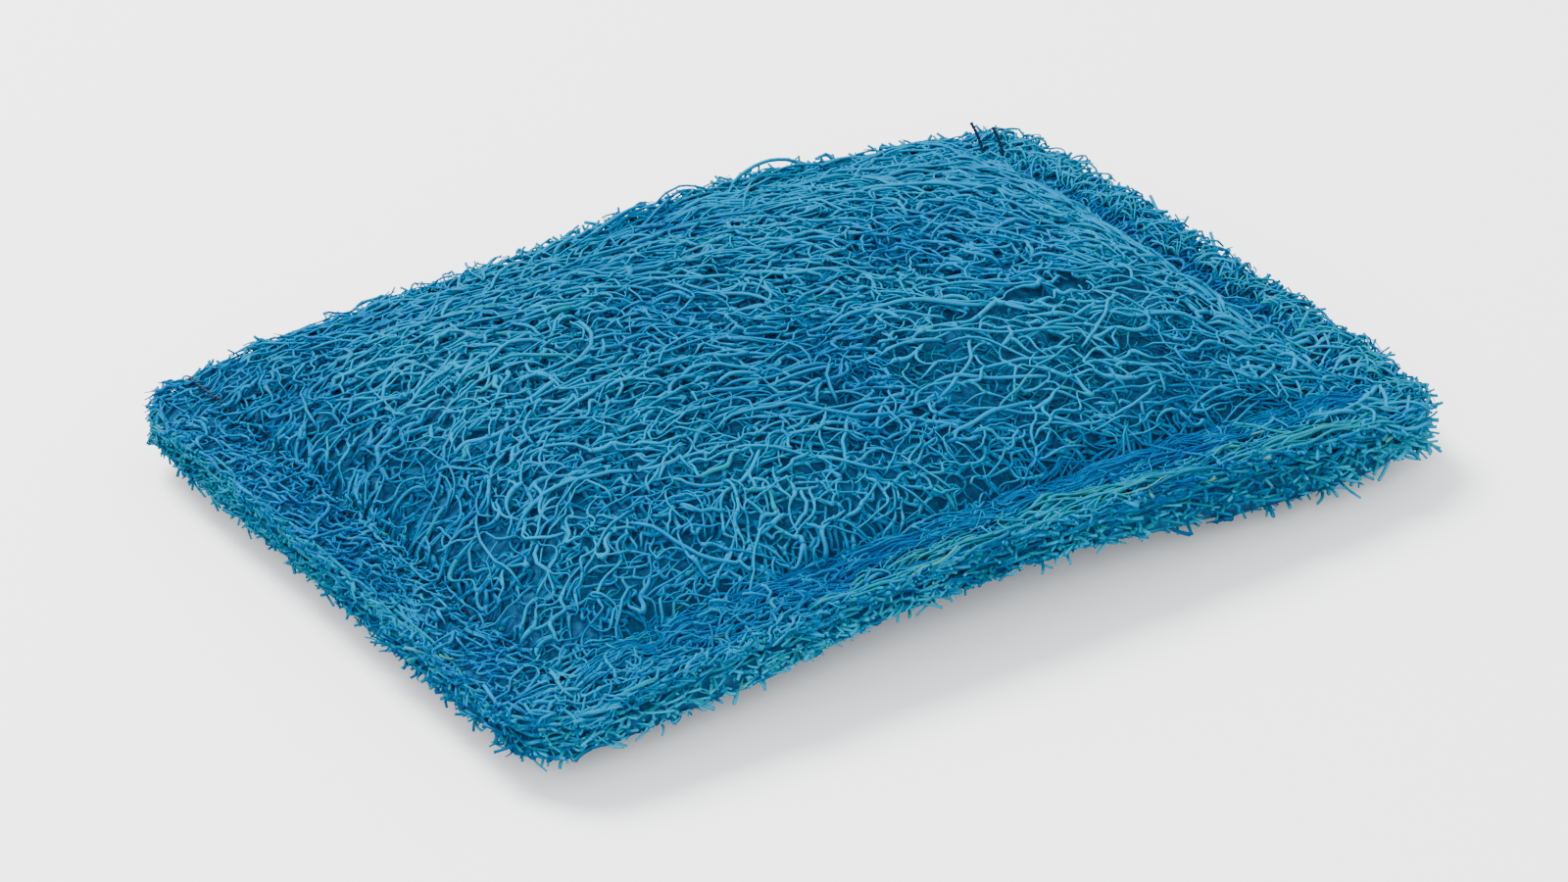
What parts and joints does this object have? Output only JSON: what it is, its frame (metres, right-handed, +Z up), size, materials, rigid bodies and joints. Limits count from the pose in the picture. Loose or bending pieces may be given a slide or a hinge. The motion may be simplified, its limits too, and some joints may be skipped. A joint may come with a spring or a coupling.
{
  "type": "loofah sponge filter pad",
  "caption": "Rectangular crowned filter pad of dyed loofah fibre: sheets sewn face to face round a foam core by straight seams, with a flat frayed margin.",
  "frame": {"origin": "middle of the flat patch on the pad's underside that it rests on", "axes": "+X along the pad, +Y across it, +Z up out of the crowned upper sheet"},
  "size_m": [0.1522, 0.1022, 0.0233],
  "materials": {
    "upper_loofah": "dyed loofah fibre, semi-gloss cyan blue strands over darker blue ones",
    "lower_loofah": "dyed loofah fibre, a little darker and matter than the upper sheet",
    "foam": "matt open-cell foam in dark blue",
    "sewing_thread": "matt navy twisted sewing thread"
  },
  "bodies": {
    "root": {"upper_loofah_sheet": "upper_loofah", "lower_loofah_sheet": "lower_loofah", "foam_core": "foam", "needle_thread_front": "sewing_thread", "needle_thread_back": "sewing_thread", "needle_thread_left": "sewing_thread", "needle_thread_right": "sewing_thread", "bobbin_thread_front": "sewing_thread", "bobbin_thread_back": "sewing_thread", "bobbin_thread_left": "sewing_thread", "bobbin_thread_right": "sewing_thread"}
  },
  "joints": []
}
